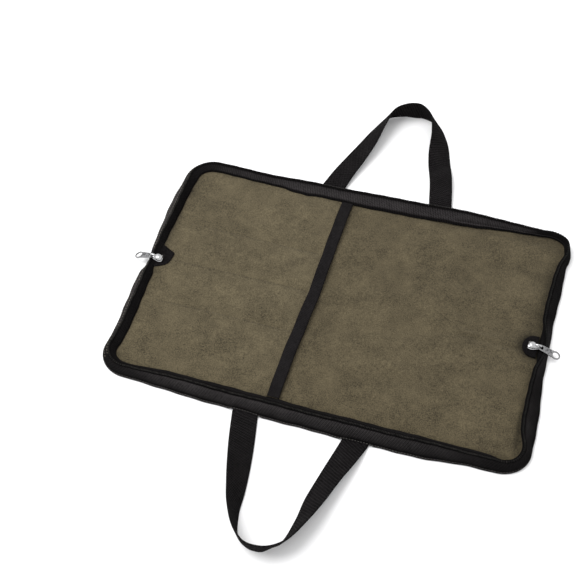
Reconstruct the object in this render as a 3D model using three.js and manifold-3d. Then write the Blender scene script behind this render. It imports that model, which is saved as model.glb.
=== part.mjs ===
// A zipped knife case of olive suede with black walls, lying open and empty on its outside face.
// Millimetres, +X along the length, +Y across the fold, +Z up; the fold line is the X axis.
import * as THREE from 'three';
import { mergeVertices } from 'three/addons/utils/BufferGeometryUtils.js';
import Module from 'manifold-3d';

const wasm = await Module();
wasm.setup();

// Driving dimensions: the olive field inside the walls
const fieldLength = 400;
const fieldDepth = 271.4;
const fieldCorner = 16;

// Layers, from the ground up
const clearance = 0.3;
const coverThickness = 1.5;
const liningThickness = 4.9;
const sheetThickness = 1;

// Wall: the width of its hump, its height at the rim, its cloth and the border it makes underneath
const wallWidth = 19;
const wallHeight = 13.2;
const wallCloth = 1.6;
const rimWidth = 3;
const borderWidth = 12;
const liningTuck = 5;
const sheetTuck = 3;

// Zip coil on the rim
const coilWidth = 3;
const coilHeight = 2.2;

// Knife pocket: its mouth, its slots and how far they stand open
const mouthX = -28;
const slotLine = 54;
const edgeSeam = 4;
const slotRise = 4.6;
const slotEndSeam = 14;
const slotTaper = 36;
const bindingWidth = 12;
const bindingTape = 0.8;

// Zip sliders, which sit on the ends of the fold line, and the cloth tabs beneath them
const sliderLength = 10.8;
const sliderWidth = 8.6;
const sliderNose = 4.8;
const sliderPlate = 1;
const sliderShift = -4;
const coreWidth = 2;
const tabReach = 13;
const tabWidth = 26;

// Pull tabs, hinged on a bridge at the slider's nose
const bridgeWidth = 1.8;
const bridgeWire = 0.9;
const bridgeOverlap = 2.6;
const pinHeight = 2.9;
const pinRun = 1.1;
const pullLength = 22;
const pullWidth = 6.4;
const pullThickness = 1;
const pullEye = 9.2;
const pullEyeHole = 6.4;
const pullSlotLength = 2.9;
const pullSlotWidth = 3;

// Webbing handles: their strap, how far the loop reaches past the wall and where the ends are sewn
const strapWidth = 25;
const strapThickness = 1.8;
const handleReach = 135;
const strapEndPast = 10;
const legSpacing = 53.5;

// Levels and half sizes that follow from them
const halfLength = fieldLength / 2;
const halfDepth = fieldDepth / 2;
const liningBottom = coverThickness + clearance;
const liningTop = liningBottom + liningThickness;
const shortRun = halfDepth - fieldCorner;
const cornerRun = (Math.PI / 2) * fieldCorner;
const longRun = fieldLength - 2 * fieldCorner;
const halfRun = 2 * (shortRun + cornerRun) + longRun;

const suede = { color: 0x5f5848, roughness: 0.95, metalness: 0 };
const blackCloth = { color: 0x262425, roughness: 0.85, metalness: 0 };
const nylon = { color: 0x1c1b1c, roughness: 0.45, metalness: 0 };
const plated = { color: 0xb9b9bc, roughness: 0.3, metalness: 1 };

const knifeRoll = new THREE.Group();

function addMesh(name, geometry, finish) {
  const mesh = new THREE.Mesh(geometry, new THREE.MeshStandardMaterial(finish));
  mesh.name = name;
  knifeRoll.add(mesh);
  return mesh;
}

// Joins and cuts of closed meshes
function toSolid(geometry) {
  const bare = geometry.clone();
  bare.deleteAttribute('normal');
  bare.deleteAttribute('uv');
  const merged = mergeVertices(bare, 1e-4);
  const vertProperties = new Float32Array(merged.attributes.position.array);
  const triVerts = new Uint32Array(merged.index.array);
  return new wasm.Manifold(new wasm.Mesh({ numProp: 3, vertProperties, triVerts }));
}

function toGeometry(solid) {
  const mesh = solid.getMesh();
  const geometry = new THREE.BufferGeometry();
  geometry.setAttribute('position', new THREE.BufferAttribute(mesh.vertProperties, 3));
  geometry.setIndex(new THREE.BufferAttribute(mesh.triVerts, 1));
  geometry.computeVertexNormals();
  return geometry;
}

// Triangles that fill an outline, wound the way the outline runs
function fill(outline) {
  const turn = Math.sign(THREE.ShapeUtils.area(outline));
  return THREE.ShapeUtils.triangulateShape(outline, []).map((face) => {
    const corners = face.map((i) => outline[i]);
    return Math.sign(THREE.ShapeUtils.area(corners)) === turn ? face : [...face].reverse();
  });
}

// A closed skin through rings of points, with both ends capped
function loft(rings, flatOutline) {
  const count = rings[0].length;
  const last = (rings.length - 1) * count;
  const positions = [];
  const faces = [];
  rings.forEach((ring) => ring.forEach((p) => positions.push(p.x, p.y, p.z)));
  for (let i = 0; i + 1 < rings.length; i += 1) {
    for (let j = 0; j < count; j += 1) {
      const a = i * count + j;
      const b = i * count + ((j + 1) % count);
      faces.push(a, b, b + count, a, b + count, a + count);
    }
  }
  fill(flatOutline(0)).forEach(([a, b, c]) => faces.push(c, b, a));
  fill(flatOutline(rings.length - 1)).forEach(([a, b, c]) => faces.push(last + a, last + b, last + c));
  return closedGeometry(positions, faces);
}

// Faces are turned outward by the sign of the volume that they enclose
function closedGeometry(positions, faces) {
  let volume = 0;
  const at = (i) => new THREE.Vector3().fromArray(positions, 3 * i);
  for (let i = 0; i < faces.length; i += 3) {
    volume += at(faces[i]).dot(at(faces[i + 1]).cross(at(faces[i + 2])));
  }
  if (volume < 0) faces.reverse();
  const geometry = new THREE.BufferGeometry();
  geometry.setAttribute('position', new THREE.Float32BufferAttribute(positions, 3));
  geometry.setIndex(faces);
  geometry.computeVertexNormals();
  return geometry;
}

// Place on the edge of the olive field, run along one half from its right fold end to its left one
function edgeAt(run) {
  const cornerX = halfLength - fieldCorner;
  const cornerY = shortRun;
  if (run <= shortRun) return { x: halfLength, y: run, nx: 1, ny: 0 };
  if (run <= shortRun + cornerRun) {
    const turn = (run - shortRun) / fieldCorner;
    const nx = Math.cos(turn);
    const ny = Math.sin(turn);
    return { x: cornerX + fieldCorner * nx, y: cornerY + fieldCorner * ny, nx, ny };
  }
  if (run <= halfRun / 2) {
    return { x: cornerX - (run - shortRun - cornerRun), y: halfDepth, nx: 0, ny: 1 };
  }
  const mirrored = edgeAt(halfRun - run);
  return { x: -mirrored.x, y: mirrored.y, nx: -mirrored.nx, ny: mirrored.ny };
}

const onRight = (share) => share * shortRun;
const rightCorner = shortRun + cornerRun / 2;
const onLong = (share) => halfRun / 2 - share * (longRun / 2);
const leftCorner = halfRun - rightCorner;
const onLeft = (share) => halfRun - share * shortRun;

// The wall's form by its place: foot, rim and reach outward from the edge of the field as shares of
// wallWidth, and its height as a share of wallHeight
const wallRows = {
  far: [
    { run: onRight(0), foot: -0.02, rim: 0.36, reach: 0.6, height: 0.72 },
    { run: onRight(0.08), foot: -0.02, rim: 0.36, reach: 0.6, height: 0.72 },
    { run: onRight(0.28), foot: -0.1, rim: 0.3, reach: 0.6, height: 1 },
    { run: onRight(0.75), foot: -0.02, rim: 0.3, reach: 0.6, height: 1 },
    { run: onRight(0.97), foot: 0.12, rim: 0.38, reach: 0.6, height: 1 },
    { run: rightCorner, foot: 0.42, rim: 0.62, reach: 0.88, height: 1 },
    { run: onLong(0.95), foot: 0.46, rim: 0.64, reach: 0.86, height: 1 },
    { run: onLong(0.84), foot: 0.44, rim: 0.72, reach: 0.95, height: 1 },
    { run: onLong(0.71), foot: 0.27, rim: 0.8, reach: 1, height: 1 },
    { run: onLong(0.5), foot: 0.05, rim: 0.84, reach: 1.04, height: 1 },
    { run: onLong(0), foot: -0.16, rim: 0.66, reach: 1, height: 1 },
    { run: onLong(-0.4), foot: -0.18, rim: 0.54, reach: 0.96, height: 1 },
    { run: onLong(-0.7), foot: -0.04, rim: 0.46, reach: 0.88, height: 1 },
    { run: leftCorner, foot: -0.04, rim: 0.48, reach: 0.92, height: 1 },
    { run: onLeft(0.7), foot: 0.14, rim: 0.42, reach: 0.86, height: 1 },
    { run: onLeft(0.3), foot: 0.16, rim: 0.42, reach: 0.8, height: 1 },
    { run: onLeft(0.08), foot: -0.02, rim: 0.36, reach: 0.66, height: 0.72 },
    { run: onLeft(0), foot: -0.02, rim: 0.36, reach: 0.66, height: 0.72 },
  ],
  near: [
    { run: onRight(0), foot: -0.02, rim: 0.36, reach: 0.6, height: 0.72 },
    { run: onRight(0.08), foot: -0.02, rim: 0.36, reach: 0.6, height: 0.72 },
    { run: onRight(0.28), foot: -0.02, rim: 0.32, reach: 0.6, height: 1 },
    { run: onRight(0.8), foot: -0.2, rim: 0.26, reach: 0.72, height: 1 },
    { run: rightCorner, foot: -0.06, rim: 0.26, reach: 0.66, height: 1 },
    { run: onLong(0.85), foot: -0.1, rim: 0.2, reach: 0.76, height: 1 },
    { run: onLong(0.65), foot: -0.06, rim: 0.26, reach: 0.96, height: 1 },
    { run: onLong(0.3), foot: -0.04, rim: 0.32, reach: 1.06, height: 1 },
    { run: onLong(-0.3), foot: -0.04, rim: 0.28, reach: 1, height: 1 },
    { run: onLong(-0.75), foot: -0.1, rim: 0.17, reach: 0.86, height: 1 },
    { run: leftCorner, foot: -0.2, rim: 0.2, reach: 0.74, height: 1 },
    { run: onLeft(0.8), foot: -0.14, rim: 0.2, reach: 0.66, height: 1 },
    { run: onLeft(0.5), foot: -0.06, rim: 0.26, reach: 0.76, height: 1 },
    { run: onLeft(0.08), foot: -0.02, rim: 0.36, reach: 0.66, height: 0.72 },
    { run: onLeft(0), foot: -0.02, rim: 0.36, reach: 0.66, height: 0.72 },
  ],
};

// A smooth value between rows
function between(rows, run, column) {
  let k = 1;
  while (k < rows.length - 1 && rows[k].run < run) k += 1;
  const slope = (i) => {
    const lo = rows[Math.max(0, i - 1)];
    const hi = rows[Math.min(rows.length - 1, i + 1)];
    return (hi[column] - lo[column]) / (hi.run - lo.run);
  };
  const a = rows[k - 1];
  const b = rows[k];
  const width = b.run - a.run;
  const t = THREE.MathUtils.clamp((run - a.run) / width, 0, 1);
  const t2 = t * t;
  const t3 = t2 * t;
  return (2 * t3 - 3 * t2 + 1) * a[column] + (t3 - 2 * t2 + t) * width * slope(k - 1)
    + (3 * t2 - 2 * t3) * b[column] + (t3 - t2) * width * slope(k);
}

const wallValue = (half, run, column) => between(wallRows[half], run, column) * wallWidth;
const wallTop = (half, run) => between(wallRows[half], run, 'height') * wallHeight;
const sideOf = { far: 1, near: -1 };

function outward(half, run, out, z) {
  const edge = edgeAt(run);
  return new THREE.Vector3(edge.x + edge.nx * out, sideOf[half] * (edge.y + edge.ny * out), z);
}

// Stations along one half: close at the corners, wider on the straight runs
function stations() {
  const runs = [];
  const spread = (from, length, steps) => {
    for (let i = 0; i < steps; i += 1) runs.push(from + (length * i) / steps);
  };
  spread(0, shortRun / 6, 2);
  spread(shortRun / 6, (shortRun * 5) / 6, 5);
  spread(shortRun, cornerRun, 6);
  spread(shortRun + cornerRun, longRun, 18);
  spread(halfRun - shortRun - cornerRun, cornerRun, 6);
  spread(halfRun - shortRun, (shortRun * 5) / 6, 5);
  spread(halfRun - shortRun / 6, shortRun / 6, 2);
  runs.push(halfRun);
  return runs;
}
const runs = stations();

// The wall's foot lies on the lining, or over the pocket sheet where that reaches under it
function footLevel(run) {
  const overSheet = THREE.MathUtils.smoothstep(mouthX + fieldCorner - edgeAt(run).x, 0, fieldCorner);
  return liningTop + clearance + overSheet * (sheetThickness + clearance);
}

// Outline of the folded wall across its run: the outer skin, then the inner one back
function wallOutline(half, run) {
  const foot = wallValue(half, run, 'foot');
  const rim = wallValue(half, run, 'rim');
  const reach = wallValue(half, run, 'reach');
  const top = wallTop(half, run);
  const low = footLevel(run);
  const rise = top - low;
  const inner = rim - rimWidth / 2 - foot;
  const outer = reach - rim - rimWidth / 2;
  const rimOut = rim + rimWidth / 2;
  const skin = [
    [foot, low + wallCloth / 2],
    [foot + 0.45 * inner, low + 0.5 * rise + wallCloth / 4],
    [rim - rimWidth / 2, top - wallCloth / 4],
    [rimOut, top],
    [rimOut + 0.45 * outer, 0.8 * top],
    [rimOut + 0.8 * outer, 0.52 * top],
    [rimOut + outer, 0.22 * top],
    [reach - wallCloth / 2, 0],
    [reach - borderWidth, 0],
  ];
  const back = [
    [reach - borderWidth, coverThickness],
    [reach - 1.5 * wallCloth, coverThickness],
    [reach - wallCloth, 0.24 * top],
    [rimOut + 0.8 * outer - wallCloth, 0.5 * top],
    [rimOut + 0.45 * outer - wallCloth, 0.8 * top - 0.6 * wallCloth],
    [rim, top - wallCloth],
    [foot + 0.5 * inner + wallCloth, low + 0.5 * rise - wallCloth / 2],
    [foot + wallCloth, low],
    [foot, low],
  ];
  return skin.concat(back);
}

function buildWall(half) {
  const rings = runs.map((run) => wallOutline(half, run).map(([out, z]) => outward(half, run, out, z)));
  const flat = (i) => wallOutline(half, runs[i]).map(([out, z]) => new THREE.Vector2(out, z));
  return loft(rings, flat);
}

// Handles: the strap's middle across as a share of legSpacing, along as a share of handleReach past the
// wall, and its tilt as a share of a quarter turn, with the edge outside the loop up where it is above 0
const handleRows = {
  near: [
    [-1.04, 0, 0], [-0.92, 0.21, 0.15], [-0.81, 0.4, 0.33], [-0.7, 0.6, 0.53], [-0.6, 0.78, 0.75],
    [-0.43, 0.93, 0.89], [-0.19, 1, 0.83], [0.06, 1, 0.82], [0.23, 0.96, 0.76], [0.39, 0.9, 0.75],
    [0.56, 0.71, 0.6], [0.65, 0.54, 0.41], [0.77, 0.35, 0.31], [0.92, 0.13, 0.13], [1, 0, 0],
  ],
  far: [
    [-1.03, 0, 0], [-0.91, 0.19, -0.11], [-0.77, 0.37, -0.2], [-0.63, 0.56, -0.34], [-0.5, 0.77, -0.55],
    [-0.35, 0.94, -0.72], [-0.06, 1.02, -0.88], [0.16, 1.04, -0.94], [0.31, 1.04, -0.87],
    [0.6, 0.97, -0.69], [0.79, 0.81, -0.47], [0.92, 0.59, -0.1], [1.09, 0.34, 0.14], [1.2, 0.13, 0.05],
    [1.26, 0, 0],
  ],
};
// How far a quarter turn of the strap counts along the loop where its rows are spaced out
const quarterTurn = (2 / 3) * handleReach;

// Where a strap end lies under the case, everything above it is cut back by one clearance
const caseEdge = halfDepth + wallWidth;
const strapEndY = caseEdge - borderWidth - strapEndPast;
const strapLegs = ['far', 'near'].flatMap((half) => (
  [handleRows[half][0], handleRows[half].at(-1)].map(([across]) => ({ half, x: across * legSpacing }))));

function strapNotches() {
  const height = 2 * (strapThickness + 2 * clearance);
  return strapLegs.map(({ half, x }) => {
    const notch = new THREE.BoxGeometry(strapWidth + 4 * clearance, handleReach, height);
    notch.translate(x, sideOf[half] * (strapEndY - clearance + handleReach / 2), 0);
    return toSolid(notch);
  });
}

function notched(geometry) {
  let solid = toSolid(geometry);
  for (const notch of strapNotches()) solid = solid.subtract(notch);
  return toGeometry(solid);
}

for (const half of ['far', 'near']) {
  addMesh(`wall_${half}`, notched(buildWall(half)), blackCloth);
}

// A flat layer whose outline follows the wall, by a rule that gives its place across the wall
function layer(bottom, thickness, placeAcross) {
  const outline = [];
  for (const half of ['far', 'near']) {
    const ordered = half === 'far' ? runs : [...runs].reverse();
    for (const run of ordered.slice(0, -1)) outline.push(outward(half, run, placeAcross(half, run), 0));
  }
  const shape = new THREE.Shape(outline.map((p) => new THREE.Vector2(p.x, p.y)));
  const geometry = new THREE.ExtrudeGeometry(shape, { depth: thickness, bevelEnabled: false });
  return geometry.translate(0, 0, bottom);
}

const coverEdge = (half, run) => wallValue(half, run, 'reach') - borderWidth - clearance;
const liningEdge = (half, run) => (
  Math.min(wallValue(half, run, 'foot') + liningTuck, wallValue(half, run, 'reach') - 2.5 * wallCloth));
addMesh('outer_cover', notched(layer(0, coverThickness, coverEdge)), suede);
addMesh('padded_lining', notched(layer(liningBottom, liningThickness, liningEdge)), suede);

// Zip coil: a bead of eight sides on the rim, which stops at the slider
function coilOutline(half, run) {
  const outline = [];
  const middle = wallValue(half, run, 'rim');
  const level = wallTop(half, run) + clearance + coilHeight / 2;
  for (let k = 0; k < 8; k += 1) {
    const turn = (Math.PI / 4) * (k + 0.5);
    outline.push([
      middle + (coilWidth / 2) * Math.cos(turn) / Math.cos(Math.PI / 8),
      level + (coilHeight / 2) * Math.sin(turn) / Math.cos(Math.PI / 8),
    ]);
  }
  return outline;
}

function buildCoil(half) {
  const stop = sideOf[half] * sliderShift + sliderWidth / 2 + clearance;
  const coilRuns = runs.filter((run) => run > stop && run < halfRun - stop);
  coilRuns.unshift(stop);
  coilRuns.push(halfRun - stop);
  const rings = coilRuns.map((run) => coilOutline(half, run).map(([out, z]) => outward(half, run, out, z)));
  const flat = (i) => coilOutline(half, coilRuns[i]).map(([out, z]) => new THREE.Vector2(out, z));
  return loft(rings, flat);
}

for (const half of ['far', 'near']) {
  addMesh(`zip_coil_${half}`, buildCoil(half), nylon);
}

// Knife pocket: its rows are shares of the sheet's half depth, so the seams follow the edges of the sheet
const slotLines = [-halfDepth + edgeSeam, -slotLine, 0, slotLine, halfDepth - edgeSeam];
const slotSteps = 8;
const pocketLeft = -halfLength;
const bindingStart = mouthX - bindingWidth;
const shareOf = (y) => y / (halfDepth + sheetTuck);

function sheetShares() {
  const shares = [-1];
  for (let k = 0; k + 1 < slotLines.length; k += 1) {
    for (let i = 0; i < slotSteps; i += 1) {
      shares.push(shareOf(slotLines[k] + ((slotLines[k + 1] - slotLines[k]) * i) / slotSteps));
    }
  }
  shares.push(shareOf(slotLines[slotLines.length - 1]), 1);
  return shares;
}
const shares = sheetShares();

// Each slot stands open between its seams and tapers to the seam at its closed end
function slotShape(share) {
  for (let k = 0; k + 1 < slotLines.length; k += 1) {
    const t = (share - shareOf(slotLines[k])) / (shareOf(slotLines[k + 1]) - shareOf(slotLines[k]));
    if (t > 0 && t < 1) return 1 - Math.abs(2 * t - 1) ** 3.5;
  }
  return 0;
}

function slotOpen(x) {
  return THREE.MathUtils.smoothstep(x, pocketLeft + slotEndSeam, pocketLeft + slotEndSeam + slotTaper);
}

const sheetUnder = (x, share) => liningTop + clearance + slotRise * slotShape(share) * slotOpen(x);
const mouthLift = (x) => (x > bindingStart - clearance ? bindingTape + clearance : 0);
const tuckAt = (x) => (x > bindingStart - 2.5 * clearance ? -2 * clearance : sheetTuck);
const runAtX = (x) => onLong(THREE.MathUtils.clamp(x / (longRun / 2), -1, 1));

// Edges of the sheet, tucked under the wall; its corners are drawn in to the corner of the field
function sheetPoint(x, share) {
  const half = share < 0 ? 'near' : 'far';
  const edge = halfDepth + wallValue(half, runAtX(x), 'foot') + tuckAt(x);
  const out = new THREE.Vector2(-x - (halfLength - fieldCorner), Math.abs(share) * edge - shortRun);
  const limit = fieldCorner + sheetTuck;
  if (out.x > 0 && out.y > 0 && out.length() > limit) out.setLength(limit);
  return { x: -(out.x + halfLength - fieldCorner), y: Math.sign(share) * (out.y + shortRun) };
}

function sheetColumns() {
  const seam = pocketLeft + slotEndSeam;
  const taperEnd = seam + slotTaper;
  const columns = [pocketLeft - sheetTuck, pocketLeft, pocketLeft + fieldCorner / 2, seam];
  for (const part of [0.25, 0.5, 0.75, 1]) columns.push(seam + part * slotTaper);
  for (const part of [1 / 3, 2 / 3]) columns.push(taperEnd + part * (bindingStart - taperEnd));
  columns.push(bindingStart - 3 * clearance, bindingStart - 2 * clearance, bindingStart);
  columns.push(mouthX - bindingTape - clearance);
  return columns;
}

function buildPocket() {
  const columns = sheetColumns();
  const rows = shares.length;
  const positions = [];
  const faces = [];
  for (const lift of [0, sheetThickness]) {
    for (const x of columns) {
      for (const share of shares) {
        const p = sheetPoint(x, share);
        positions.push(p.x, p.y, sheetUnder(x, share) + mouthLift(x) + lift);
      }
    }
  }
  const under = (i, j) => i * rows + j;
  const over = (i, j) => (columns.length + i) * rows + j;
  for (let i = 0; i + 1 < columns.length; i += 1) {
    for (let j = 0; j + 1 < rows; j += 1) {
      faces.push(over(i, j), over(i + 1, j), over(i + 1, j + 1), over(i, j), over(i + 1, j + 1), over(i, j + 1));
      faces.push(under(i, j), under(i + 1, j + 1), under(i + 1, j), under(i, j), under(i, j + 1), under(i + 1, j + 1));
    }
  }
  const wallFaces = (a, b, c, d) => faces.push(a, b, c, a, c, d);
  const endColumn = columns.length - 1;
  for (let j = 0; j + 1 < rows; j += 1) {
    wallFaces(under(0, j), over(0, j), over(0, j + 1), under(0, j + 1));
    wallFaces(under(endColumn, j), under(endColumn, j + 1), over(endColumn, j + 1), over(endColumn, j));
  }
  for (let i = 0; i < endColumn; i += 1) {
    wallFaces(under(i, 0), under(i + 1, 0), over(i + 1, 0), over(i, 0));
    wallFaces(under(i, rows - 1), over(i, rows - 1), over(i + 1, rows - 1), under(i + 1, rows - 1));
  }
  return closedGeometry(positions, faces);
}
addMesh('knife_pocket', buildPocket(), suede);

// Binding: one tape folded round the mouth edge, from wall to wall
function bindingOutline(share) {
  const low = sheetUnder(mouthX, share);
  const top = low + 2 * bindingTape + sheetThickness + 2 * clearance;
  const fold = mouthX - bindingTape;
  return [
    [bindingStart, low],
    [mouthX - bindingTape / 2, low],
    [mouthX, low + bindingTape / 2],
    [mouthX, top - bindingTape / 2],
    [mouthX - bindingTape / 2, top],
    [bindingStart, top],
    [bindingStart, top - bindingTape],
    [fold, top - bindingTape],
    [fold, low + bindingTape],
    [bindingStart, low + bindingTape],
  ];
}

function buildBinding() {
  const place = (share) => sheetPoint(mouthX, share).y;
  const rings = shares.map((share) => bindingOutline(share).map(([x, z]) => new THREE.Vector3(x, place(share), z)));
  return loft(rings, (i) => bindingOutline(shares[i]).map(([x, z]) => new THREE.Vector2(x, z)));
}
addMesh('pocket_binding', buildBinding(), blackCloth);

// Cloth tab over each zip end, a round lobe from the wall's foot to tabReach inside the field
const foldEnds = [
  { name: 'left', side: -1, run: halfRun, inset: 1.6, yaw: 0, swing: -9, tilt: 23, tabShift: 2 },
  { name: 'right', side: 1, run: 0, inset: -5.4, yaw: -4, swing: -3, tilt: 15, tabShift: -2 },
];

function buildTab({ side, run, tabShift }) {
  const tabEdge = Math.abs(run - side * (tabShift + tabWidth / 2));
  const base = halfLength + wallValue('far', tabEdge, 'foot') - 2 * clearance;
  const straight = tabReach * 0.3;
  const lobe = new THREE.Shape();
  lobe.moveTo(side * base, tabShift - tabWidth / 2);
  const tip = halfLength - straight;
  lobe.lineTo(side * tip, tabShift - tabWidth / 2);
  for (let k = 1; k <= 10; k += 1) {
    const turn = -Math.PI / 2 + (Math.PI * k) / 10;
    const x = tip - (tabReach - straight) * Math.cos(turn);
    lobe.lineTo(side * x, tabShift + (tabWidth / 2) * Math.sin(turn));
  }
  lobe.lineTo(side * base, tabShift + tabWidth / 2);
  const bottom = footLevel(run);
  const depth = wallTop('far', run) - bottom;
  return new THREE.ExtrudeGeometry(lobe, { depth, bevelEnabled: false }).translate(0, 0, bottom);
}

// Slider: two plates with a core between them and a bridge past the nose; +X is the nose
const channel = coilHeight + 2 * clearance;
const sliderHeight = 2 * sliderPlate + channel;
const pinX = sliderLength / 2 + clearance + pinRun / 2;
const bridgeFar = pinX + pinRun / 2 + clearance;

function plateShape() {
  const back = -sliderLength / 2;
  const shape = new THREE.Shape();
  shape.moveTo(back, -sliderWidth / 2 + 1);
  shape.lineTo(back + 1.4, -sliderWidth / 2);
  shape.lineTo(back + 0.45 * sliderLength, -sliderWidth / 2);
  shape.lineTo(sliderLength / 2, -sliderNose / 2);
  shape.lineTo(sliderLength / 2, sliderNose / 2);
  shape.lineTo(back + 0.45 * sliderLength, sliderWidth / 2);
  shape.lineTo(back + 1.4, sliderWidth / 2);
  shape.lineTo(back, sliderWidth / 2 - 1);
  return shape;
}

function block(x0, x1, width, z0, z1) {
  return new THREE.BoxGeometry(x1 - x0, width, z1 - z0).translate((x0 + x1) / 2, 0, (z0 + z1) / 2);
}

function buildSlider() {
  const plate = new THREE.ExtrudeGeometry(plateShape(), { depth: sliderPlate, bevelEnabled: false });
  const bridgeBack = sliderLength / 2 - bridgeOverlap;
  const bridgeTop = sliderHeight + bridgeWire;
  const pieces = [
    plate.clone().translate(0, 0, sliderPlate + channel),
    block(-sliderLength / 2 + 1, -1, coreWidth, 0, sliderHeight),
    block(bridgeBack, bridgeFar + bridgeWire, bridgeWidth, 0, bridgeWire),
    block(bridgeBack, bridgeFar + bridgeWire, bridgeWidth, sliderHeight - bridgeWire, bridgeTop),
    block(bridgeFar, bridgeFar + bridgeWire, bridgeWidth, 0, bridgeTop),
  ];
  let solid = toSolid(plate);
  for (const piece of pieces) solid = solid.add(toSolid(piece));
  return toGeometry(solid);
}

// Pull: a flat bar with a slot round the bridge at its root and a round eye at its tip; the pin is at 0
function buildPull() {
  const eyeX = pullLength - pullEye / 2;
  const shape = new THREE.Shape();
  const neck = Math.asin(pullWidth / pullEye) * 0.8;
  shape.moveTo(-pinRun / 2, -pullWidth / 2);
  for (let k = 0; k <= 16; k += 1) {
    const turn = -Math.PI + neck + ((2 * Math.PI - 2 * neck) * k) / 16;
    shape.lineTo(eyeX + (pullEye / 2) * Math.cos(turn), (pullEye / 2) * Math.sin(turn));
  }
  shape.lineTo(-pinRun / 2, pullWidth / 2);
  const eye = new THREE.Path().absarc(eyeX, 0, pullEyeHole / 2, 0, 2 * Math.PI, true);
  const slot = new THREE.Path();
  slot.moveTo(pinRun / 2, -pullSlotWidth / 2);
  slot.lineTo(pinRun / 2, pullSlotWidth / 2);
  slot.lineTo(pinRun / 2 + pullSlotLength, pullSlotWidth / 2);
  slot.lineTo(pinRun / 2 + pullSlotLength, -pullSlotWidth / 2);
  slot.closePath();
  shape.holes.push(eye, slot);
  const options = { depth: pullThickness, bevelEnabled: false, curveSegments: 14 };
  return new THREE.ExtrudeGeometry(shape, options).translate(0, 0, -pullThickness / 2);
}

for (const end of foldEnds) {
  addMesh(`zip_tab_${end.name}`, buildTab(end), blackCloth);
  const slider = addMesh(`slider_${end.name}`, buildSlider(), plated);
  const pull = addMesh(`pull_${end.name}`, buildPull(), plated);
  const yaw = THREE.MathUtils.degToRad(end.yaw);
  const seat = new THREE.Group();
  seat.position.set(end.side * (halfLength + end.inset), sliderShift, wallTop('far', end.run) + clearance);
  seat.rotation.z = end.side < 0 ? Math.PI + yaw : yaw;
  pull.position.set(pinX, 0, pinHeight);
  pull.rotation.set(0, THREE.MathUtils.degToRad(end.tilt), THREE.MathUtils.degToRad(end.swing), 'ZYX');
  seat.add(slider, pull);
  knifeRoll.add(seat);
}

// A flat strap along its middle line, tilted on its lower edge, which stays on the ground
function buildHandle(half) {
  const rows = handleRows[half];
  const wall = caseEdge + clearance;
  const points = rows.map(([across, along, tilt]) => (
    new THREE.Vector3(across * legSpacing, wall + along * handleReach, tilt * quarterTurn)));
  const first = points[0].clone().setY(strapEndY);
  const last = points[points.length - 1].clone().setY(strapEndY);
  const middle = new THREE.CatmullRomCurve3(points, false, 'centripetal').getSpacedPoints(52);
  const line = [first, ...middle, last];
  const rings = line.map((p, i) => {
    const before = line[Math.max(0, i - 1)];
    const after = line[Math.min(line.length - 1, i + 1)];
    const along = new THREE.Vector2(after.x - before.x, after.y - before.y).normalize();
    const tilt = (p.z / quarterTurn) * (Math.PI / 2);
    const outward2 = new THREE.Vector2(-along.y, along.x);
    const wide = new THREE.Vector3(outward2.x * Math.cos(tilt), outward2.y * Math.cos(tilt), Math.sin(tilt));
    const thick = new THREE.Vector3(-outward2.x * Math.sin(tilt), -outward2.y * Math.sin(tilt), Math.cos(tilt));
    const lift = (strapWidth / 2) * Math.abs(wide.z) + (strapThickness / 2) * Math.abs(thick.z) + clearance;
    const corners = [[-1, -1], [1, -1], [1, 1], [-1, 1]];
    return corners.map(([a, b]) => new THREE.Vector3(p.x, p.y, lift)
      .addScaledVector(wide, (a * strapWidth) / 2)
      .addScaledVector(thick, (b * strapThickness) / 2));
  });
  const square = [[-1, -1], [1, -1], [1, 1], [-1, 1]].map(([a, b]) => new THREE.Vector2(a, b));
  return loft(rings.map((ring) => ring.map((p) => p.setY(sideOf[half] * p.y))), () => square);
}

for (const half of ['far', 'near']) {
  addMesh(`handle_${half}`, buildHandle(half), blackCloth);
}

export default knifeRoll;
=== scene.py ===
import math

import bpy
import numpy as np
from mathutils import Matrix, Vector


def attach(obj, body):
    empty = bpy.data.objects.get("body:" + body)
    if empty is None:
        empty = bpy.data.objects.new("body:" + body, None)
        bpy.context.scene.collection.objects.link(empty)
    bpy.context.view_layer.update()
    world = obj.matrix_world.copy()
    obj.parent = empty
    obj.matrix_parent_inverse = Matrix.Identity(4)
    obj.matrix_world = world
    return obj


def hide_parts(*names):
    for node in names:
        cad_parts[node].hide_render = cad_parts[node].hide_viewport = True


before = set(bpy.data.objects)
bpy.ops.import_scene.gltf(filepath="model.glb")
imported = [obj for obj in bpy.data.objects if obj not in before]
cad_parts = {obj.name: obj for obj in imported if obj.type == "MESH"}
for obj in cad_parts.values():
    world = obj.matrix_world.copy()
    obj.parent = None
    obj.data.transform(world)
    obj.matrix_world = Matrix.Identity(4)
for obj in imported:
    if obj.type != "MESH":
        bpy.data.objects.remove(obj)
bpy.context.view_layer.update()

# Ground, light and camera: white paper under the case, one broad soft lamp high on the left, an
# even white sky, and a camera that looks down at the case from its near right side.
bpy.context.scene.view_settings.view_transform = "Standard"
bpy.context.scene.view_settings.look = "None"


def material(name):
    m = bpy.data.materials.new(name)
    m.use_nodes = True
    tree = m.node_tree
    return m, tree, tree.nodes["Principled BSDF"]


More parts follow.
